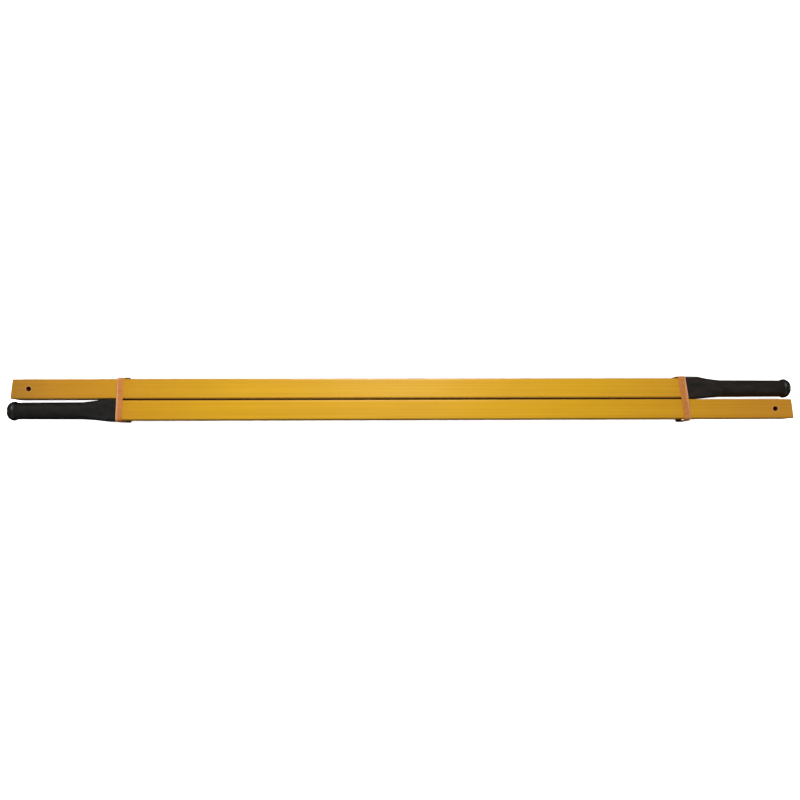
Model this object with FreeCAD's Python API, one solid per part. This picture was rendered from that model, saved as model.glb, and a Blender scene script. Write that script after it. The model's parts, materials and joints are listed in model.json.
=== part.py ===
"""A banded pair of fibreglass barrow handles, lying flat side by side, head to tail.

Row frame, mm: +X runs along the handles, +Y from the front handle to the back one, +Z up.
X and Y are zero at the middle of the bundle's box, and Z is zero at its underside.
Each handle is first built in its own frame: x is the distance from the grip's outer end,
and y and z are zero on the axis of the square tube.
"""
import FreeCAD
import Part
import math
import os
from FreeCAD import Placement, Rotation, Vector

# Handles, from the grip's outer end: the two are cut and drilled slightly differently.
front_length = 1524.0
back_length = 1515.4
front_bolt_x = 1487.7
back_bolt_x = 1481.1
back_grip_lead = 4.0          # how far the back grip stands past the front tube's cut end

# Pultruded tube
tube_width = 38.1             # along Y
tube_depth = 38.1             # along Z
tube_corner = 3.0
tube_wall = 3.4
tube_inner_corner = 1.0
end_cut_angle = 4.8           # degrees off square, in the XY plane
end_edge_round = 1.0
bolt_diameter = 9.5

# Moulded grip
grip_length = 215.0
dome_length = 10.8
dome_radius = 18.1
dome_shoulder = 7.5           # radius of the turn from the dome's crown to its side
bead_radius = 18.75
bead_length = 1.4
bead_fall = 7.0               # length over which the bead drops to the shaft
shaft_end_radius = 16.2
shaft_radius = 16.8           # where the flare starts
flare_start = 142.0
flare_end = 191.0
flare_sections = 6
swell_power = 1.5
corner_power = 0.55            # below 1: the section squares off early in the flare
shift_power = 3.0
collar_thick_wall = 2.9       # at the +Y side
collar_thin_wall = 1.6        # at the -Y side
collar_face_wall = 1.9        # above and below the tube
collar_corner = 4.0
collar_edge_round = 0.5
socket_depth = 25.0           # tube held inside the collar

# Core, pin, plug and sleeve inside the handle
core_radius = 12.0
core_recess = 12.0            # from the grip's outer end to the core's end
core_in_tube = 60.0
pin_radius = 2.0
pin_setback = 13.0            # from the tube's grip end to the pin
plug_length = 60.0
plug_recess = 2.0
lead_in_chamfer = 0.8
sleeve_wall = 1.25
fit_clearance = 0.05

# Rubber bands
band_width = 12.6
band_thickness = 1.5
band_clearance = 0.3          # between a band and the collars that it slides over
left_band_x = -542.0
right_band_x = 546.8
right_band_lean = 8.0         # degrees off square, in the XY plane

# Worked-out places
tube_gap = collar_thick_wall + 0.1
handle_y = (tube_width + tube_gap) / 2
collar_half_y = (tube_width + collar_thick_wall + collar_thin_wall) / 2
collar_half_z = tube_depth / 2 + collar_face_wall
collar_shift = (collar_thick_wall - collar_thin_wall) / 2
band_side_gap = collar_thick_wall + band_clearance
band_face_gap = collar_face_wall + band_clearance
tube_axis_z = tube_depth / 2 + band_face_gap + band_thickness
tube_start = grip_length - socket_depth
inner_width = tube_width - 2 * tube_wall
inner_depth = tube_depth - 2 * tube_wall
sleeve_radius = bolt_diameter / 2 + sleeve_wall
cut_slope = math.tan(math.radians(end_cut_angle))

# The back grip stands past the front tube, so the box's middle is half of that to the right.
box_shift = -back_grip_lead / 2
front_grip_x = -front_length / 2 + box_shift
back_grip_x = front_length / 2 + back_grip_lead + box_shift

along = Vector(1, 0, 0)
across = Vector(0, 1, 0)
up = Vector(0, 0, 1)


def arc_edge(x, centre_y, centre_z, radius, start_degrees, end_degrees):
    """An arc in a plane square to X; angles run from +Y towards +Z."""
    points = []
    for degrees in (start_degrees, (start_degrees + end_degrees) / 2, end_degrees):
        angle = math.radians(degrees)
        points.append(Vector(x, centre_y + radius * math.cos(angle), centre_z + radius * math.sin(angle)))
    return Part.Arc(*points).toShape()


def rounded_section(x, half_y, half_z, corner, centre_y=0.0):
    """A rounded rectangle in a plane square to X, as eight edges."""
    edges = []
    signs = ((1, 1), (-1, 1), (-1, -1), (1, -1))
    for index, (side_y, side_z) in enumerate(signs):
        edges.append(arc_edge(x, centre_y + side_y * (half_y - corner), side_z * (half_z - corner),
                              corner, 90 * index, 90 * index + 90))
    joined = []
    for index, edge in enumerate(edges):
        following = edges[(index + 1) % 4]
        joined.append(edge)
        joined.append(Part.makeLine(edge.valueAt(edge.LastParameter),
                                    following.valueAt(following.FirstParameter)))
    return Part.Wire(joined)


def circle_section(x, radius, side_degrees=12.0):
    """A circle cut into four long and four short arcs, to loft into a rounded rectangle."""
    half = side_degrees / 2
    edges = []
    for index in range(4):
        start = 90 * index
        edges.append(arc_edge(x, 0, 0, radius, start + half, start + 90 - half))
        edges.append(arc_edge(x, 0, 0, radius, start + 90 - half, start + 90 + half))
    return Part.Wire(edges)


def rounded_bar(start, end, width, depth, corner, centre_y=0.0):
    """A bar along X with a rounded rectangular section."""
    section = rounded_section(start, width / 2, depth / 2, corner, centre_y)
    return Part.Face(section).extrude(along * (end - start))


def cut_end_wedge(length, recess=0.0):
    """Everything past the slanted end: its face reaches x = length at the -Y side of the tube."""
    reach = 60.0
    low_x = length - recess + (reach - tube_width / 2) * cut_slope
    high_x = length - recess - (reach + tube_width / 2) * cut_slope
    outline = Part.makePolygon([Vector(low_x, -reach, -reach),
                                Vector(high_x, reach, -reach),
                                Vector(length + reach, reach, -reach),
                                Vector(length + reach, -reach, -reach),
                                Vector(low_x, -reach, -reach)])
    return Part.Face(outline).extrude(up * (2 * reach))


def edges_near_plane(shape, distance_from_plane, tolerance=0.01):
    """The edges whose every vertex lies on a plane, given as a distance function."""
    found = []
    for edge in shape.Edges:
        if all(abs(distance_from_plane(vertex.Point)) < tolerance for vertex in edge.Vertexes):
            found.append(edge)
    return found


def upright_cylinder(x, radius, height):
    return Part.makeCylinder(radius, height, Vector(x, 0, -height / 2), up)


def make_tube(length, bolt_x):
    outer = rounded_bar(tube_start, length + 5.0, tube_width, tube_depth, tube_corner)
    outer = outer.cut(cut_end_wedge(length))

    def from_cut_face(point):
        return point.x - (length - (point.y + tube_width / 2) * cut_slope)

    outer = outer.makeFillet(end_edge_round, edges_near_plane(outer, from_cut_face))
    cavity = rounded_bar(tube_start - 1.0, length + 5.0, inner_width, inner_depth, tube_inner_corner)
    bolt_hole = upright_cylinder(bolt_x, bolt_diameter / 2, tube_depth + 10)
    pin_hole = upright_cylinder(tube_start + pin_setback, pin_radius + fit_clearance, tube_depth + 10)
    return outer.cut([cavity, bolt_hole, pin_hole])


def fall_arcs(start, end):
    """Two equal arcs that step down from one line along X to another, tangent to both."""
    step = start.y - end.y
    bend = ((end.x - start.x) ** 2 + step ** 2) / (4 * step)
    half_turn = math.asin((end.x - start.x) / 2 / bend) / 2
    middle = (start + end) / 2
    reach = bend * math.sin(half_turn)
    sagitta = bend * (1 - math.cos(half_turn))
    return [Part.Arc(start, start + Vector(reach, -sagitta, 0), middle).toShape(),
            Part.Arc(middle, end + Vector(-reach, sagitta, 0), end).toShape()]


def dome_arcs():
    """The dome's outline in the XY plane: a flat crown on the axis, then a tighter shoulder."""
    shoulder_y = dome_radius - dome_shoulder
    crown = ((dome_length ** 2 + shoulder_y ** 2 - dome_shoulder ** 2)
             / (2 * (dome_length - dome_shoulder)))
    turn = math.atan2(shoulder_y, crown - dome_length)
    meeting = Vector(crown * (1 - math.cos(turn)), crown * math.sin(turn), 0)
    crown_middle = Vector(crown * (1 - math.cos(turn / 2)), crown * math.sin(turn / 2), 0)
    middle_turn = (turn + math.pi / 2) / 2
    shoulder_middle = Vector(dome_length - dome_shoulder * math.cos(middle_turn),
                             shoulder_y + dome_shoulder * math.sin(middle_turn), 0)
    dome_end = Vector(dome_length, dome_radius, 0)
    return [Part.Arc(Vector(0, 0, 0), crown_middle, meeting).toShape(),
            Part.Arc(meeting, shoulder_middle, dome_end).toShape()]


def grip_end_and_shaft():
    """Domed end, raised bead and round shaft, turned about the tube's axis."""
    dome_end = Vector(dome_length, dome_radius, 0)
    bead_start = Vector(dome_length, bead_radius, 0)
    bead_end = Vector(dome_length + bead_length, bead_radius, 0)
    shaft_start = Vector(bead_end.x + bead_fall, shaft_end_radius, 0)
    shaft_end = Vector(flare_start, shaft_radius, 0)
    edges = dome_arcs()
    edges += [Part.makeLine(dome_end, bead_start), Part.makeLine(bead_start, bead_end)]
    edges += fall_arcs(bead_end, shaft_start)
    edges += [Part.makeLine(shaft_start, shaft_end),
              Part.makeLine(shaft_end, Vector(flare_start, 0, 0)),
              Part.makeLine(Vector(flare_start, 0, 0), Vector(0, 0, 0))]
    return Part.Face(Part.Wire(Part.__sortEdges__(edges))).revolve(Vector(0, 0, 0), along, 360)


def grip_flare():
    """The shaft swells from round to the collar's rounded rectangle."""
    sections = [circle_section(flare_start, shaft_radius)]
    for index in range(1, flare_sections):
        part_way = index / (flare_sections - 1)
        swell = part_way ** swell_power
        squareness = part_way ** corner_power
        sections.append(rounded_section(flare_start + (flare_end - flare_start) * part_way,
                                        shaft_radius + (collar_half_y - shaft_radius) * swell,
                                        shaft_radius + (collar_half_z - shaft_radius) * swell,
                                        shaft_radius + (collar_corner - shaft_radius) * squareness,
                                        collar_shift * part_way ** shift_power))
    return Part.makeLoft(sections, True, False)


def make_grip():
    collar = rounded_bar(flare_end, grip_length, 2 * collar_half_y, 2 * collar_half_z,
                         collar_corner, collar_shift)
    collar = collar.makeFillet(collar_edge_round,
                               edges_near_plane(collar, lambda point: point.x - grip_length))
    outer = grip_end_and_shaft().fuse([grip_flare(), collar]).removeSplitter()
    bore = Part.makeCylinder(core_radius, tube_start - core_recess,
                             Vector(core_recess, 0, 0), along)
    socket = rounded_bar(tube_start, grip_length + 1.0, tube_width, tube_depth, tube_corner)
    return outer.cut([bore, socket])


def make_grip_core():
    """A round spigot for the grip, stepping up to a square block that fills the tube's end."""
    spigot = Part.makeCylinder(core_radius - fit_clearance, tube_start - core_recess,
                               Vector(core_recess, 0, 0), along)
    block = rounded_bar(tube_start, tube_start + core_in_tube, inner_width - 2 * fit_clearance,
                        inner_depth - 2 * fit_clearance, tube_inner_corner)
    block_end = tube_start + core_in_tube
    block = block.makeChamfer(lead_in_chamfer,
                              edges_near_plane(block, lambda point: point.x - block_end))
    pin_hole = upright_cylinder(tube_start + pin_setback, pin_radius + fit_clearance, tube_depth)
    return spigot.fuse(block).removeSplitter().cut(pin_hole)


def make_core_pin():
    """A straight pin through the tube and the core, held in by the grip's collar."""
    pin_length = tube_depth - 2 * fit_clearance
    pin = upright_cylinder(tube_start + pin_setback, pin_radius, pin_length)
    return pin.makeChamfer(0.4, [edge for edge in pin.Edges if len(edge.Vertexes) == 1])


def make_nose_plug(length, bolt_x):
    """A block that closes the cut end and backs the bolt hole."""
    start = length - plug_length
    plug = rounded_bar(start, length, inner_width - 2 * fit_clearance,
                       inner_depth - 2 * fit_clearance, tube_inner_corner)
    plug = plug.makeChamfer(lead_in_chamfer, edges_near_plane(plug, lambda point: point.x - start))
    sleeve_hole = upright_cylinder(bolt_x, sleeve_radius + fit_clearance, tube_depth)
    return plug.cut([cut_end_wedge(length, plug_recess), sleeve_hole])


def make_bolt_sleeve(bolt_x):
    """A metal sleeve that carries the bolt's pull between the tube's two walls."""
    height = inner_depth - 2 * fit_clearance
    sleeve = upright_cylinder(bolt_x, sleeve_radius, height)
    return sleeve.cut(upright_cylinder(bolt_x, bolt_diameter / 2, height + 2))


def make_band(centre_x, lean_degrees):
    """A flat loop round both handles, cut from a long rounded sleeve by a leaning slab."""
    reach = 40.0
    inner_half_y = handle_y + tube_width / 2 + band_side_gap
    inner_half_z = tube_depth / 2 + band_face_gap
    inner_corner = collar_corner + band_clearance
    sleeves = []
    for grow in (band_thickness, 0.0):
        section = rounded_section(-reach, inner_half_y + grow, inner_half_z + grow, inner_corner + grow)
        sleeves.append(Part.Face(section).extrude(along * (2 * reach)))
    slab = Part.makeBox(band_width, 200, 200, Vector(-band_width / 2, -100, -100))
    slab.rotate(Vector(0, 0, 0), up, lean_degrees)
    band = sleeves[0].cut(sleeves[1]).common(slab)
    band.translate(Vector(centre_x, 0, tube_axis_z))
    return band


def make_handle(prefix, length, bolt_x, placement):
    pieces = {prefix + "_tube": make_tube(length, bolt_x),
              prefix + "_grip": make_grip(),
              prefix + "_grip_core": make_grip_core(),
              prefix + "_core_pin": make_core_pin(),
              prefix + "_nose_plug": make_nose_plug(length, bolt_x),
              prefix + "_bolt_sleeve": make_bolt_sleeve(bolt_x)}
    for shape in pieces.values():
        shape.Placement = placement
    return pieces


def single_solid(shape):
    """The one solid of a boolean's result, with nothing round it."""
    if len(shape.Solids) != 1:
        raise RuntimeError("expected one solid, got %d" % len(shape.Solids))
    return shape.Solids[0]


def main():
    front_placement = Placement(Vector(front_grip_x, -handle_y, tube_axis_z), Rotation())
    back_placement = Placement(Vector(back_grip_x, handle_y, tube_axis_z), Rotation(across, 180))
    nodes = {}
    nodes.update(make_handle("front", front_length, front_bolt_x, front_placement))
    nodes.update(make_handle("back", back_length, back_bolt_x, back_placement))
    nodes["left_band"] = make_band(left_band_x + box_shift, 0.0)
    nodes["right_band"] = make_band(right_band_x + box_shift, right_band_lean)

    os.makedirs("parts", exist_ok=True)
    for name, shape in nodes.items():
        single_solid(shape).exportStep("parts/" + name + ".step")


main()
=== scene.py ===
"""Looks for the banded pair of barrow handles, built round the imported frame.

Everything is in metres in the CAD frame: +X along the handles, +Y from the front handle to the
back one, +Z up.
"""
import bpy
import json
import math
from collections import namedtuple
from mathutils import Matrix, Vector, noise
from mathutils.bvhtree import BVHTree


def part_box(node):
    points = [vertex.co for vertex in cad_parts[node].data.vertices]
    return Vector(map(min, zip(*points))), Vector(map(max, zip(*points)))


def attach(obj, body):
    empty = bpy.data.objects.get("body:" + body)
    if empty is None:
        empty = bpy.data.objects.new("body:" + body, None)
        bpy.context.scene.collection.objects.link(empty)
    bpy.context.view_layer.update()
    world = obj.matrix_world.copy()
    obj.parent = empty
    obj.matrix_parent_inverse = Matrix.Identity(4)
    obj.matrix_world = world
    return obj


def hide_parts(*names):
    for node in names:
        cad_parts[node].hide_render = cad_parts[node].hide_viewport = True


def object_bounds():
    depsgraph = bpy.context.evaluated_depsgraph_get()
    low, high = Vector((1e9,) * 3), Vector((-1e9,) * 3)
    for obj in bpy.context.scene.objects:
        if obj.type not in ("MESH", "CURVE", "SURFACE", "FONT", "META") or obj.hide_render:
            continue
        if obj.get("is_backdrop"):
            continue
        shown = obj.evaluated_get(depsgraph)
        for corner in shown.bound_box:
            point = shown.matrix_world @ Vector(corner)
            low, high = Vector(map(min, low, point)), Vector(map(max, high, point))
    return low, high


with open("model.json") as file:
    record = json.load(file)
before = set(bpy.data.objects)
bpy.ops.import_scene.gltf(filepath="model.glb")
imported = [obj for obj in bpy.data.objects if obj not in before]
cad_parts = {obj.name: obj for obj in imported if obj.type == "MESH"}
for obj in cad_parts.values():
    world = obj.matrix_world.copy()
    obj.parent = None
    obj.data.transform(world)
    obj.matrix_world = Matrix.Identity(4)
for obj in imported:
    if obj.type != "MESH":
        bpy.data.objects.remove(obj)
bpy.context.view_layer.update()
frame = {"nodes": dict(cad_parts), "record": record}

MM = 0.001
HANDLES = ("front", "back")

# Camera: its place in the CAD frame, its turns in degrees, and its lens
CAMERA_PLACE = Vector((-0.04395, -0.10135, 1.35328))
CAMERA_YAW = 1.4896
CAMERA_PITCH = -4.3237
CAMERA_ROLL = 0.2398
CAMERA_LENS_MM = 30.710
CAMERA_SENSOR_MM = 36.0
CAMERA_FAR = 50.0

# Lights for the handles alone
KEY_WATTS = 18.9
FILL_WATTS = 6.5
OVERHEAD_WATTS = 0.9
RIM_WATTS = 2.5
RIM_SIZE = (0.08, 0.30)

# Lights for the floor alone: two leaning suns, and two narrow spots that reach the slits
SUN_STRENGTH = 4.2
SUN_ANGLE = math.radians(25)
SUN_LEAN_DEGREES = 38
SLIT_WATTS = 115.0
SLIT_X = 0.69
SLIT_CONE = math.radians(8.5)
SLIT_BLEND = 0.4
SLIT_LAMP_RADIUS = 0.01

# The studio round the handles: its strength low down and overhead, and where it changes
WORLD_LOW = 0.04
WORLD_HIGH = 0.20
WORLD_CHANGE = (-0.25, 0.75)
WHITE = (1, 1, 1, 1)

FLOOR_REACH = 30.0
FLOOR_DROP = 0.1 * MM
FLOOR_COLOR = (0.88, 0.88, 0.88, 1)

# Tubes: gloss of the skin, painted shade at the ends, where along X the painted deeper orange and
# the painted end shade set in, and the radii of the pale rim and of the wall of the bolt hole
TUBE_GLOSS = {"front": 0.06, "back": 0.40}
TUBE_END_SHADE = {"front": 0.0, "back": 0.24}
END_SHADE_ORANGE_SPAN = (0.30, 0.76)
END_SHADE_SPAN = (0.655, 0.760)
HOLE_RIM_SPAN = (7.2 * MM, 5.4 * MM)
HOLE_WALL_SPAN = (4.95 * MM, 4.80 * MM)

# Grips: the tone of their patches, and where along X the smooth dome sets in
GRIP_TINTS = {"front": (0.0100, 0.0090, 0.0076, 1), "back": (0.0175, 0.0092, 0.0052, 1)}
DOME_SPAN = (0.7475, 0.7500)

# Rubber bands: a strip laid round the tubes with a small clearance, which rides up on a collar
BAND_THICKNESS = 1.58 * MM
BAND_CLEARANCE = 0.24 * MM
BAND_EDGE_RADIUS = 0.45 * MM
BAND_STEP = 1.2 * MM
BAND_COLUMNS = 17
# Where along Z the painted shade darkens the bands towards the bottom.
BAND_LOW_SHADE_SPAN = (40 * MM, 24 * MM)
CORNER_STEPS = 6
FEWEST_STEPS = 4
RAY_REACH = 12 * MM
SMOOTH_PASSES = 2
SMOOTH_WINDOW = (-2, -1, 0, 1, 2)
DRIFT_EASE = 0.35
EDGE_WANDER = 0.35 * MM
EDGE_WANDER_SCALE = 60
EDGE_WANDER_SHIFT = 9
THICKNESS_WANDER = 0.08
THICKNESS_SCALE_ACROSS = 150
THICKNESS_SCALE_ROUND = 90
TINY = 1e-12
SLACK = 1e-6

# How far the middle of each band's strip lies from the band's own middle, along X, at the four
# corners of the bundle: (top +Y, top -Y, bottom -Y, bottom +Y).
LEFT_BAND_DRIFT = (-0.3 * MM, -1.1 * MM, 3.5 * MM, 0.0)
RIGHT_BAND_DRIFT = (-4.2 * MM, 4.6 * MM, 2.6 * MM, -2.6 * MM)

# How wide each band's strip is at the same four corners.
LEFT_BAND_WIDTHS = (11.2 * MM, 11.4 * MM, 11.6 * MM, 11.6 * MM)
RIGHT_BAND_WIDTHS = (14.4 * MM, 11.8 * MM, 12.2 * MM, 12.2 * MM)

# How far each band's side strands stand off the tubes at the same four corners.
LEFT_BAND_GAPS = (0.6 * MM, 0.8 * MM, 1.5 * MM, 3.6 * MM)
RIGHT_BAND_GAPS = (2.1 * MM, 2.0 * MM, 3.1 * MM, 2.5 * MM)
CORNER_RADIUS = 4.5 * MM

# How far each band's colour goes towards a darker brown: painted shade.
BAND_PAINTED_SHADE = {"left_band": 0.0, "right_band": 0.14}

# A place on the bundle's outline: its outward normal, the corner it follows, and how far it is
# from that corner to the next one, from 0 to 1.
Station = namedtuple("Station", "y z normal corner part_way")


# ---------------------------------------------------------------------------------- node helpers

class Look:
    """A material under construction: short calls that add and join shader nodes."""

    def __init__(self, name):
        self.material = bpy.data.materials.new(name)
        self.material.use_nodes = True
        self.nodes = self.material.node_tree.nodes
        self.links = self.material.node_tree.links
        self.shader = self.nodes["Principled BSDF"]
        self.coords = self.nodes.new("ShaderNodeTexCoord")

    def put(self, socket, value):
        if isinstance(value, bpy.types.NodeSocket):
            self.links.new(value, socket)
        else:
            socket.default_value = value

    def mapped(self, scale, offset=(0, 0, 0)):
        node = self.nodes.new("ShaderNodeMapping")
        self.links.new(self.coords.outputs["Object"], node.inputs["Vector"])
        node.inputs["Scale"].default_value = scale
        node.inputs["Location"].default_value = offset
        return node.outputs["Vector"]

    def noise(self, scale, detail, roughness=0.55, offset=(0, 0, 0), distortion=0.0):
        node = self.nodes.new("ShaderNodeTexNoise")
        self.links.new(self.mapped(scale, offset), node.inputs["Vector"])
        node.inputs["Scale"].default_value = 1.0
        node.inputs["Detail"].default_value = detail
        node.inputs["Roughness"].default_value = roughness
        node.inputs["Distortion"].default_value = distortion
        return node.outputs["Fac"]

    def cells(self, scale, smoothness):
        node = self.nodes.new("ShaderNodeTexVoronoi")
        node.feature = "SMOOTH_F1"
        self.links.new(self.mapped(scale), node.inputs["Vector"])
        node.inputs["Scale"].default_value = 1.0
        node.inputs["Smoothness"].default_value = smoothness
        return node.outputs["Distance"]

    def ramp(self, value, low, high, out_low=0.0, out_high=1.0):
        node = self.nodes.new("ShaderNodeMapRange")
        node.interpolation_type = "SMOOTHSTEP"
        self.put(node.inputs["Value"], value)
        node.inputs["From Min"].default_value = low
        node.inputs["From Max"].default_value = high
        node.inputs["To Min"].default_value = out_low
        node.inputs["To Max"].default_value = out_high
        return node.outputs["Result"]

    def math(self, operation, first, second=0.0):
        node = self.nodes.new("ShaderNodeMath")
        node.operation = operation
        self.put(node.inputs[0], first)
        self.put(node.inputs[1], second)
        return node.outputs["Value"]

    def absolute(self, value):
        return self.math("ABSOLUTE", value)

    def product(self, first, second):
        return self.math("MULTIPLY", first, second)

    def mix(self, factor, first, second):
        node = self.nodes.new("ShaderNodeMix")
        node.data_type = "RGBA"
        self.put(node.inputs["Factor"], factor)
        self.put(node.inputs["A"], first)
        self.put(node.inputs["B"], second)
        return node.outputs["Result"]

    def attribute(self, name):
        node = self.nodes.new("ShaderNodeAttribute")
        node.attribute_name = name
        return node.outputs["Fac"]

    def axes(self, coordinate):
        """The X, Y and Z of one of the material's coordinates, such as "Object" or "Normal"."""
        node = self.nodes.new("ShaderNodeSeparateXYZ")
        self.links.new(self.coords.outputs[coordinate], node.inputs["Vector"])
        return node.outputs["X"], node.outputs["Y"], node.outputs["Z"]

    def bump(self, height, distance, strength, below=None):
        node = self.nodes.new("ShaderNodeBump")
        self.put(node.inputs["Height"], height)
        node.inputs["Distance"].default_value = distance
        node.inputs["Strength"].default_value = strength
        if below is not None:
            self.links.new(below, node.inputs["Normal"])
        return node.outputs["Normal"]

    def finish(self, color, roughness, normal=None, **sockets):
        self.put(self.shader.inputs["Base Color"], color)
        self.put(self.shader.inputs["Roughness"], roughness)
        if normal is not None:
            self.put(self.shader.inputs["Normal"], normal)
        for name, value in sockets.items():
            self.shader.inputs[name.replace("_", " ")].default_value = value
        return self.material


def srgb(red, green, blue):
    """A colour given as 0-255 screen values, as a shader wants it."""
    linear = []
    for value in (red, green, blue):
        value = value / 255
        linear.append(value / 12.92 if value <= 0.04045 else ((value + 0.055) / 1.055) ** 2.4)
    return (*linear, 1.0)


# ------------------------------------------------------------------------------------- materials

def fibreglass(name, bolt_hole, gloss, end_shade):
    """Pultruded glass fibre: long streaks under a gloss skin, raw where it was cut, chipped round the
    bolt hole; painted shade on its corners and ends, and a painted reddish glow and shade on the bolt
    hole's wall.
    """
    deep_gold, gold = (0.560, 0.290, 0.004, 1), (0.650, 0.352, 0.007, 1)
    pale_strand, dull_cloud = (0.720, 0.420, 0.016, 1), (0.520, 0.262, 0.005, 1)
    painted_corner_shade, painted_shade_brown = (0.300, 0.140, 0.004, 1), (0.100, 0.060, 0.020, 1)
    shaded_deep_orange, shaded_orange = (0.540, 0.232, 0.012, 1), (0.620, 0.276, 0.018, 1)
    raw_pale, raw_dark = (0.560, 0.330, 0.110, 1), (0.330, 0.160, 0.030, 1)
    chipped_rim, hole_glow_red = (0.700, 0.440, 0.130, 1), (0.190, 0.022, 0.010, 1)
    look = Look(name)
    streak = look.noise((1.5, 420, 420), detail=5, roughness=0.62)
    strand = look.noise((9, 1900, 1900), detail=3, roughness=0.5, offset=(3, 0, 0))
    cloud = look.noise((7, 24, 24), detail=3, roughness=0.5, offset=(0, 7, 0))
    color = look.mix(look.ramp(streak, 0.32, 0.68), deep_gold, gold)
    color = look.mix(look.ramp(strand, 0.56, 0.72, 0.0, 0.30), color, pale_strand)
    color = look.mix(look.ramp(cloud, 0.30, 0.75, 0.0, 0.28), color, dull_cloud)

    normal_x, normal_y, normal_z = look.axes("Normal")
    flatness = look.math("MAXIMUM", look.absolute(normal_y), look.absolute(normal_z))
    flatness = look.math("MAXIMUM", flatness, look.absolute(normal_x))
    # Painted shade: the rounded corners are darkened towards brown.
    corner = look.ramp(flatness, 0.995, 0.86)
    color = look.mix(look.product(corner, 0.45), color, painted_corner_shade)

    place_x, place_y, _ = look.axes("Object")
    # Painted shade: the skin turns a deeper orange towards the ends.
    outer = look.ramp(look.absolute(place_x), *END_SHADE_ORANGE_SPAN)
    color = look.mix(outer, color, look.mix(look.ramp(streak, 0.3, 0.7), shaded_deep_orange, shaded_orange))

    # Painted shade: the tube darkens towards its ends.
    end = look.ramp(look.absolute(place_x), *END_SHADE_SPAN, 0.0, end_shade)
    color = look.mix(end, color, painted_shade_brown)

    speck = look.cells((1500, 1500, 1500), smoothness=0.3)
    raw = look.ramp(look.absolute(normal_x), 0.90, 0.97)
    raw_color = look.mix(look.ramp(speck, 0.25, 0.6), raw_pale, raw_dark)
    color = look.mix(raw, color, raw_color)

    from_x = look.math("SUBTRACT", place_x, bolt_hole[0])
    from_y = look.math("SUBTRACT", place_y, bolt_hole[1])
    squared = look.math("ADD", look.product(from_x, from_x), look.product(from_y, from_y))
    radius = look.math("SQRT", squared)
    color = look.mix(look.ramp(radius, *HOLE_RIM_SPAN, 0.0, 0.4), color, chipped_rim)
    # Painted glow and shade: the wall of the bolt hole is a dark red.
    drilled = look.ramp(radius, *HOLE_WALL_SPAN)
    color = look.mix(drilled, color, hole_glow_red)

    rough = look.ramp(look.noise((14, 260, 260), detail=3), 0.3, 0.7, 0.34, 0.46)
    rough = look.math("MAXIMUM", rough, look.product(raw, 0.8))
    weave = look.bump(streak, 0.10 * MM, 0.35)
    normal = look.bump(strand, 0.03 * MM, 0.5, below=weave)
    return look.finish(color, rough, normal, Coat_Weight=gloss, Coat_Roughness=0.20,
                       Specular_IOR_Level=0.32)


def grip_rubber(name, tint):
    """Moulded black rubber with a fine pebble, dusty in patches, smoother on the dome."""
    black, dust = (0.0050, 0.0046, 0.0038, 1), (0.020, 0.019, 0.018, 1)
    look = Look(name)
    pebble = look.cells((620, 620, 620), smoothness=0.8)
    fine = look.noise((1500, 1500, 1500), detail=2)
    patch = look.noise((40, 110, 110), detail=4, roughness=0.6)
    smear = look.noise((260, 40, 40), detail=3, offset=(0, 0, 5))
    color = look.mix(look.ramp(patch, 0.35, 0.68), black, tint)
    color = look.mix(look.ramp(smear, 0.52, 0.78, 0.0, 0.4), color, dust)
    rough = look.ramp(look.math("ADD", patch, look.product(fine, 0.3)), 0.45, 0.85, 0.48, 0.66)
    place_x, _, _ = look.axes("Object")
    dome = look.ramp(look.absolute(place_x), *DOME_SPAN)
    rough = look.product(rough, look.math("SUBTRACT", 1.0, look.product(dome, 0.45)))
    normal = look.bump(look.product(pebble, look.math("SUBTRACT", 1.0, dome)), 0.16 * MM, 0.45)
    normal = look.bump(fine, 0.05 * MM, 0.4, below=normal)
    return look.finish(color, rough, normal, Specular_IOR_Level=0.30)


def band_rubber(name, pale_edge, shade):
    """Natural rubber: fine lines round the loop, a slight bloom, a painted highlight along one edge,
    painted shade low down.
    """
    tan, light_tan = srgb(186, 113, 50), srgb(201, 130, 66)
    pale_line, edge_highlight = srgb(214, 150, 92), srgb(232, 182, 138)
    painted_shade_brown, painted_band_shade = (0.060, 0.018, 0.007, 1), (0.220, 0.062, 0.012, 1)
    look = Look(name)
    lines = look.noise((1800, 60, 60), detail=3)
    bloom = look.noise((170, 170, 170), detail=4, roughness=0.6)
    color = look.mix(look.ramp(bloom, 0.3, 0.7), tan, light_tan)
    color = look.mix(look.ramp(lines, 0.5, 0.75, 0.0, 0.35), color, pale_line)
    # Painted highlight: a pale strip along one edge of the band.
    edge = look.product(look.attribute("across"), pale_edge)
    color = look.mix(look.ramp(edge, 0.45, 0.95, 0.0, 0.6), color, edge_highlight)
    _, _, height = look.axes("Object")
    # Painted shade: the band darkens towards the bottom.
    color = look.mix(look.ramp(height, *BAND_LOW_SHADE_SPAN, 0.0, 0.8), color, painted_shade_brown)
    # Painted shade: the whole band goes towards a darker brown by its own amount.
    color = look.mix(shade, color, painted_band_shade)
    rough = look.ramp(bloom, 0.3, 0.7, 0.52, 0.68)
    normal = look.bump(lines, 0.06 * MM, 0.5)
    normal = look.bump(bloom, 0.20 * MM, 0.4, below=normal)
    return look.finish(color, rough, normal, Specular_IOR_Level=0.3)


def core_plastic(name):
    """Dark moulded plastic with flow marks."""
    dark, less_dark = (0.020, 0.018, 0.016, 1), (0.036, 0.032, 0.028, 1)
    look = Look(name)
    flow = look.noise((30, 160, 160), detail=5, distortion=1.2)
    grain = look.noise((1600, 1600, 1600), detail=2)
    color = look.mix(look.ramp(flow, 0.3, 0.7), dark, less_dark)
    rough = look.ramp(flow, 0.3, 0.7, 0.5, 0.68)
    return look.finish(color, rough, look.bump(grain, 0.05 * MM, 0.5))


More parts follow.
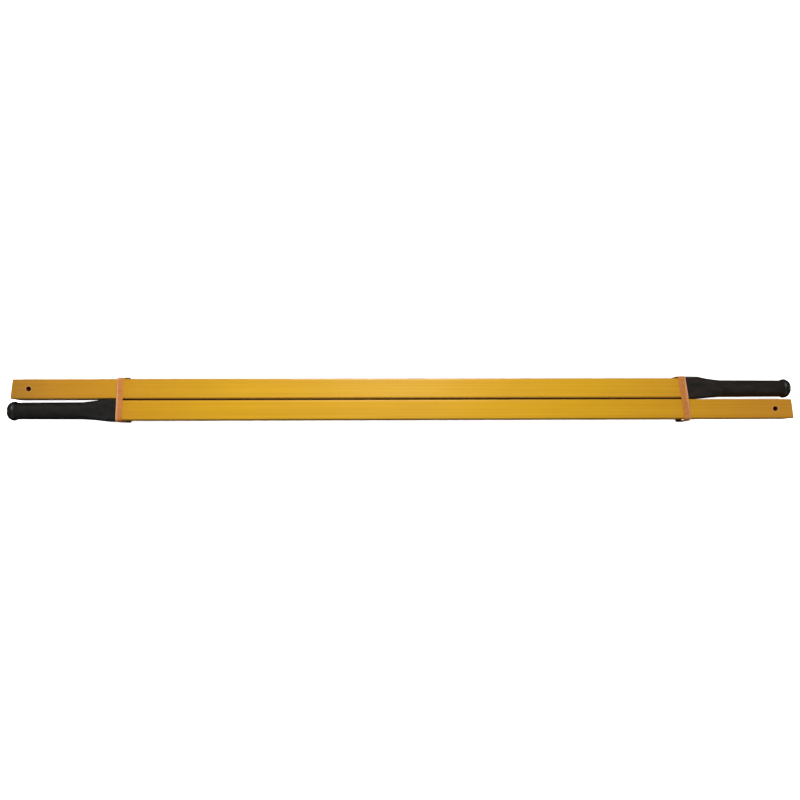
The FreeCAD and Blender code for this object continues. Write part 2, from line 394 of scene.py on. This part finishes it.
def dull_steel(name):
    """Rusty brown steel with turning marks round it and light spotting; its red-brown is partly real
    and partly a painted reddish glow inside the bolt hole.
    """
    rust_and_hole_glow, dark_rust = (0.190, 0.040, 0.026, 1), (0.110, 0.020, 0.012, 1)
    look = Look(name)
    turning = look.noise((60, 60, 2600), detail=2)
    spots = look.noise((420, 420, 420), detail=4, roughness=0.65)
    color = look.mix(look.ramp(spots, 0.45, 0.7), rust_and_hole_glow, dark_rust)
    rough = look.ramp(turning, 0.3, 0.7, 0.5, 0.7)
    return look.finish(color, rough, look.bump(turning, 0.03 * MM, 0.5), Metallic=0.2)


def assign(node_name, material):
    for holder in frame["nodes"][node_name].material_slots:
        holder.material = material


holes = {mount["name"]: mount["pos_m"] for mount in frame["record"]["mounts"]}
plastic = core_plastic("core_plastic_look")
steel = dull_steel("steel_look")
for side in HANDLES:
    hole = holes[side + "_bolt_hole"]
    tube_look = fibreglass(side + "_fibreglass_look", hole, TUBE_GLOSS[side], TUBE_END_SHADE[side])
    assign(side + "_tube", tube_look)
    assign(side + "_grip", grip_rubber(side + "_grip_look", GRIP_TINTS[side]))
    assign(side + "_grip_core", plastic)
    assign(side + "_nose_plug", plastic)
    assign(side + "_core_pin", steel)
    assign(side + "_bolt_sleeve", steel)


# ----------------------------------------------------------------------------------- rubber bands

def handle_surface():
    """The tubes and grips as one tree to cast rays at."""
    points = []
    faces = []
    for side in HANDLES:
        for kind in ("_tube", "_grip"):
            mesh = frame["nodes"][side + kind].data
            start = len(points)
            points += [vertex.co.copy() for vertex in mesh.vertices]
            faces += [[start + index for index in polygon.vertices] for polygon in mesh.polygons]
    return BVHTree.FromPolygons(points, faces)


def bundle_section():
    """Half width, half depth and middle of the two tubes' outline in the YZ plane."""
    front_low, front_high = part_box("front_tube")
    back_low, back_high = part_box("back_tube")
    half_y = (back_high[1] - front_low[1]) / 2
    half_z = (front_high[2] - front_low[2]) / 2
    return half_y, half_z, (back_high[1] + front_low[1]) / 2, (front_high[2] + front_low[2]) / 2


def loop_stations(gaps):
    """Stations round the bundle's outline, widened by the side gaps.

    The loop starts at the top of the +Y side and goes over the top towards -Y, down, and back
    underneath. Corner numbers run with it: 0 top +Y, 1 top -Y, 2 bottom -Y, 3 bottom +Y.
    """
    half_y, half_z, middle_y, middle_z = bundle_section()
    flat_y = half_y - CORNER_RADIUS
    flat_z = half_z - CORNER_RADIUS
    corners = ((flat_y + gaps[0], flat_z), (-flat_y - gaps[1], flat_z),
               (-flat_y - gaps[2], -flat_z), (flat_y + gaps[3], -flat_z))
    stations = []
    for index, (centre_y, centre_z) in enumerate(corners):
        next_y, next_z = corners[(index + 1) % len(corners)]
        for step in range(CORNER_STEPS):
            angle = math.radians(90 * index + 90 * step / CORNER_STEPS)
            normal = (math.cos(angle), math.sin(angle))
            stations.append((centre_y + CORNER_RADIUS * normal[0],
                             centre_z + CORNER_RADIUS * normal[1], normal, index, 0.0))
        angle = math.radians(90 * index + 90)
        normal = (math.cos(angle), math.sin(angle))
        run = math.hypot(next_y - centre_y, next_z - centre_z)
        count = max(FEWEST_STEPS, round(run / BAND_STEP))
        for step in range(count):
            part_way = step / count
            stations.append((centre_y + (next_y - centre_y) * part_way + CORNER_RADIUS * normal[0],
                             centre_z + (next_z - centre_z) * part_way + CORNER_RADIUS * normal[1],
                             normal, index, part_way))
    return [Station(middle_y + y, middle_z + z, *rest) for y, z, *rest in stations]


def convex_outline(points):
    """The convex hull of points in a plane, anticlockwise."""
    ordered = sorted(set(points))

    def half(sequence):
        chain = []
        for point in sequence:
            while len(chain) > 1:
                (ax, ay), (bx, by) = chain[-2], chain[-1]
                if (bx - ax) * (point[1] - ay) - (by - ay) * (point[0] - ax) > 0:
                    break
                chain.pop()
            chain.append(point)
        return chain[:-1]

    return half(ordered) + half(reversed(ordered))


def height_on_outline(outline, station):
    """How far out along its normal a station's ray leaves the outline."""
    y, z, normal = station.y, station.z, station.normal
    best = 0.0
    for index, (ay, az) in enumerate(outline):
        by, bz = outline[(index + 1) % len(outline)]
        edge_y, edge_z = by - ay, bz - az
        across = normal[0] * edge_z - normal[1] * edge_y
        if abs(across) < TINY:
            continue
        distance = ((ay - y) * edge_z - (az - z) * edge_y) / across
        along = ((ay - y) * normal[1] - (az - z) * normal[0]) / across
        if -SLACK <= along <= 1 + SLACK and distance > best:
            best = distance
    return best


def smoothed(heights):
    """Heights across the strip with their steps eased, never lower than they were."""
    eased = heights
    for _ in range(SMOOTH_PASSES):
        before = eased
        eased = []
        for column, height in enumerate(heights):
            near = [before[max(0, min(len(before) - 1, column + step))] for step in SMOOTH_WINDOW]
            eased.append(max(height, sum(near) / len(near)))
    return eased


def strip_heights(surface, stations, middles, widths, fractions):
    """How far the strip's underside stands off the tubes: taut round whatever it lies on."""
    columns = []
    for fraction in fractions:
        outline = []
        for station, middle, width in zip(stations, middles, widths):
            y, z, normal = station.y, station.z, station.normal
            outward = Vector((0, normal[0], normal[1]))
            start = Vector((middle + width * fraction, y, z)) + outward * RAY_REACH
            place, _, _, distance = surface.ray_cast(start, -outward, 2 * RAY_REACH)
            height = max(0.0, RAY_REACH - distance) if place is not None else 0.0
            outline.append((y + normal[0] * height, z + normal[1] * height))
        outline = convex_outline(outline)
        columns.append([height_on_outline(outline, station) for station in stations])
    return [smoothed(row) for row in zip(*columns)]


def along_loop(stations, corner_values):
    """A value at every station, eased from each corner's to the next one's."""
    values = []
    for station in stations:
        here = corner_values[station.corner]
        there = corner_values[(station.corner + 1) % len(corner_values)]
        part_way = station.part_way
        curve = part_way * part_way * (3 - 2 * part_way)
        eased = curve * DRIFT_EASE + part_way * (1 - DRIFT_EASE)
        values.append(here + (there - here) * eased)
    return values


def ring_faces(rows, ring):
    """Four-sided faces between neighbouring rings of points, closed both ways."""
    faces = []
    for row in range(rows):
        following = (row + 1) % rows
        for place in range(ring):
            beside = (place + 1) % ring
            faces.append((row * ring + place, row * ring + beside,
                          following * ring + beside, following * ring + place))
    return faces


def make_band(name, corner_widths, drift, gaps, pale_edge):
    """A closed strip round both handles, swept from a flat section with rounded edges."""
    low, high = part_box(name)
    centre_x = (low[0] + high[0]) / 2
    stations = loop_stations(gaps)
    middles = [centre_x + value for value in along_loop(stations, drift)]
    widths = along_loop(stations, corner_widths)
    fractions = [column / (BAND_COLUMNS - 1) - 0.5 for column in range(BAND_COLUMNS)]
    heights = strip_heights(handle_surface(), stations, middles, widths, fractions)

    points = []
    section = [(column, True) for column in range(BAND_COLUMNS)]
    section += [(column, False) for column in reversed(range(BAND_COLUMNS))]
    for station, middle, width, row_heights in zip(stations, middles, widths, heights):
        y, z, normal = station.y, station.z, station.normal
        wander_y, wander_z = y * EDGE_WANDER_SCALE, z * EDGE_WANDER_SCALE
        uneven_y, uneven_z = y * THICKNESS_SCALE_ROUND, z * THICKNESS_SCALE_ROUND
        for column, outer in section:
            offset = width * fractions[column]
            from_edge = width / 2 - abs(offset)
            inset = max(0.0, BAND_EDGE_RADIUS - from_edge)
            pull = BAND_EDGE_RADIUS - math.sqrt(max(0.0, BAND_EDGE_RADIUS ** 2 - inset ** 2))
            side_shift = centre_x * EDGE_WANDER_SHIFT + outer
            wander = EDGE_WANDER * noise.noise(Vector((wander_y, wander_z, side_shift)))
            uneven_x = offset * THICKNESS_SCALE_ACROSS
            uneven = noise.noise(Vector((uneven_x, uneven_y, uneven_z)))
            thickness = BAND_THICKNESS * (1 + THICKNESS_WANDER * uneven)
            lift = BAND_CLEARANCE + row_heights[column]
            rise = lift + (thickness - pull if outer else pull)
            points.append((middle + offset + wander * abs(fractions[column]) * 2,
                           y + normal[0] * rise, z + normal[1] * rise))
    mesh = bpy.data.meshes.new(name + "_strip")
    mesh.from_pydata(points, [], ring_faces(len(stations), len(section)))
    mesh.update()
    mesh.shade_smooth()
    across = mesh.attributes.new("across", "FLOAT", "POINT")
    for number, value in enumerate(across.data):
        value.value = fractions[section[number % len(section)][0]] * 2
    strip = bpy.data.objects.new(name + "_strip", mesh)
    bpy.context.scene.collection.objects.link(strip)
    strip.data.materials.append(band_rubber(name + "_rubber_look", pale_edge, BAND_PAINTED_SHADE[name]))
    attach(strip, name)
    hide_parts(name)


make_band("left_band", LEFT_BAND_WIDTHS, LEFT_BAND_DRIFT, LEFT_BAND_GAPS, -1)
make_band("right_band", RIGHT_BAND_WIDTHS, RIGHT_BAND_DRIFT, RIGHT_BAND_GAPS, 1)


# --------------------------------------------------------------------------- floor, light, camera

def make_floor():
    """A plain pale floor just under the bands, which neither lights the handles nor shows in them."""
    object_low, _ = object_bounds()
    mesh = bpy.data.meshes.new("floor")
    mesh.from_pydata([(-FLOOR_REACH, -FLOOR_REACH, 0), (FLOOR_REACH, -FLOOR_REACH, 0),
                      (FLOOR_REACH, FLOOR_REACH, 0), (-FLOOR_REACH, FLOOR_REACH, 0)],
                     [], [(0, 1, 2, 3)])
    floor = bpy.data.objects.new("floor", mesh)
    floor.location.z = object_low[2] - FLOOR_DROP
    floor.visible_diffuse = False
    floor.visible_glossy = False
    bpy.context.scene.collection.objects.link(floor)
    floor_look = Look("floor_look")
    mesh.materials.append(floor_look.finish(FLOOR_COLOR, 0.9, Specular_IOR_Level=0.0))
    floor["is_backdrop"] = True
    return floor


floor = make_floor()
only_floor = bpy.data.collections.new("only_floor")
only_floor.objects.link(floor)
all_but_floor = bpy.data.collections.new("all_but_floor")
all_but_floor.objects.link(floor)
all_but_floor.collection_objects[0].light_linking.link_state = "EXCLUDE"


def make_world():
    """A dim studio: lighter overhead than low down, and white where the camera looks past the floor."""
    world = bpy.data.worlds.new("studio")
    bpy.context.scene.world = world
    world.use_nodes = True
    nodes, links = world.node_tree.nodes, world.node_tree.links
    coords = nodes.new("ShaderNodeTexCoord")
    split = nodes.new("ShaderNodeSeparateXYZ")
    links.new(coords.outputs["Generated"], split.inputs["Vector"])
    strength = nodes.new("ShaderNodeMapRange")
    strength.interpolation_type = "SMOOTHSTEP"
    links.new(split.outputs["Z"], strength.inputs["Value"])
    strength.inputs["From Min"].default_value = WORLD_CHANGE[0]
    strength.inputs["From Max"].default_value = WORLD_CHANGE[1]
    strength.inputs["To Min"].default_value = WORLD_LOW
    strength.inputs["To Max"].default_value = WORLD_HIGH
    studio = nodes["Background"]
    studio.inputs["Color"].default_value = WHITE
    links.new(strength.outputs["Result"], studio.inputs["Strength"])
    backdrop = nodes.new("ShaderNodeBackground")
    backdrop.inputs["Color"].default_value = WHITE
    backdrop.inputs["Strength"].default_value = 1.0
    path = nodes.new("ShaderNodeLightPath")
    choose = nodes.new("ShaderNodeMixShader")
    links.new(path.outputs["Is Camera Ray"], choose.inputs["Fac"])
    links.new(studio.outputs["Background"], choose.inputs[1])
    links.new(backdrop.outputs["Background"], choose.inputs[2])
    links.new(choose.outputs["Shader"], nodes["World Output"].inputs["Surface"])


def aimed(place, aim):
    return (Vector(aim) - Vector(place)).to_track_quat("-Z", "Y").to_euler()


def add_light(name, data, place, rotation, receivers):
    """Put a light in the scene that lights only its receivers."""
    light = bpy.data.objects.new(name, data)
    light.location = place
    light.rotation_euler = rotation
    bpy.context.scene.collection.objects.link(light)
    light.light_linking.receiver_collection = receivers


def area_light(name, place, aim, size, watts):
    """A soft rectangular lamp for the handles alone."""
    data = bpy.data.lights.new(name, "AREA")
    data.shape = "RECTANGLE"
    data.size, data.size_y = size
    data.energy = watts
    add_light(name, data, place, aimed(place, aim), all_but_floor)


def floor_sun(name, side):
    """An even light for the floor alone, leaning over the handles so none falls down their gap."""
    data = bpy.data.lights.new(name, "SUN")
    data.energy = SUN_STRENGTH
    data.angle = SUN_ANGLE
    add_light(name, data, (0, 0, 0), (math.radians(side * SUN_LEAN_DEGREES), 0, 0), only_floor)


def slit_light(name, side):
    """A spot at the camera, for the floor alone, that reaches into the slit beside one grip."""
    data = bpy.data.lights.new(name, "SPOT")
    data.energy = SLIT_WATTS
    data.shadow_soft_size = SLIT_LAMP_RADIUS
    data.spot_size = SLIT_CONE
    data.spot_blend = SLIT_BLEND
    add_light(name, data, CAMERA_PLACE, aimed(CAMERA_PLACE, (side * SLIT_X, 0.0, 0.0)), only_floor)


def make_camera():
    data = bpy.data.cameras.new("camera")
    data.lens = CAMERA_LENS_MM
    data.sensor_width = CAMERA_SENSOR_MM
    data.clip_end = CAMERA_FAR
    camera = bpy.data.objects.new("camera", data)
    turn = (Matrix.Rotation(math.radians(CAMERA_ROLL), 3, "Z")
            @ Matrix.Rotation(math.radians(CAMERA_PITCH), 3, "X")
            @ Matrix.Rotation(math.radians(CAMERA_YAW), 3, "Y"))
    camera.matrix_world = Matrix.Translation(CAMERA_PLACE) @ turn.transposed().to_4x4()
    bpy.context.scene.collection.objects.link(camera)
    return camera


make_world()
area_light("key", place=(-0.05, 0.80, 0.90), aim=(-0.05, 0.0, 0.0), size=(0.7, 0.5), watts=KEY_WATTS)
area_light("fill", place=(0.0, -1.60, 0.70), aim=(0.0, 0.0, 0.0), size=(1.8, 0.6), watts=FILL_WATTS)
area_light("overhead", place=(0.02, 0.22, 1.36), aim=(0.0, 0.22, 0.0), size=(0.62, 0.42),
           watts=OVERHEAD_WATTS)
for rim_name, rim_side in (("left_rim", -1), ("right_rim", 1)):
    area_light(rim_name, place=(rim_side * 1.54, rim_side * 0.02, 0.20),
               aim=(rim_side * 0.75, rim_side * 0.02, 0.02), size=RIM_SIZE, watts=RIM_WATTS)
floor_sun("floor_sun_plus", 1)
floor_sun("floor_sun_minus", -1)
slit_light("left_slit_light", -1)
slit_light("right_slit_light", 1)

bpy.context.scene.camera = make_camera()
bpy.context.scene.view_settings.view_transform = "Standard"
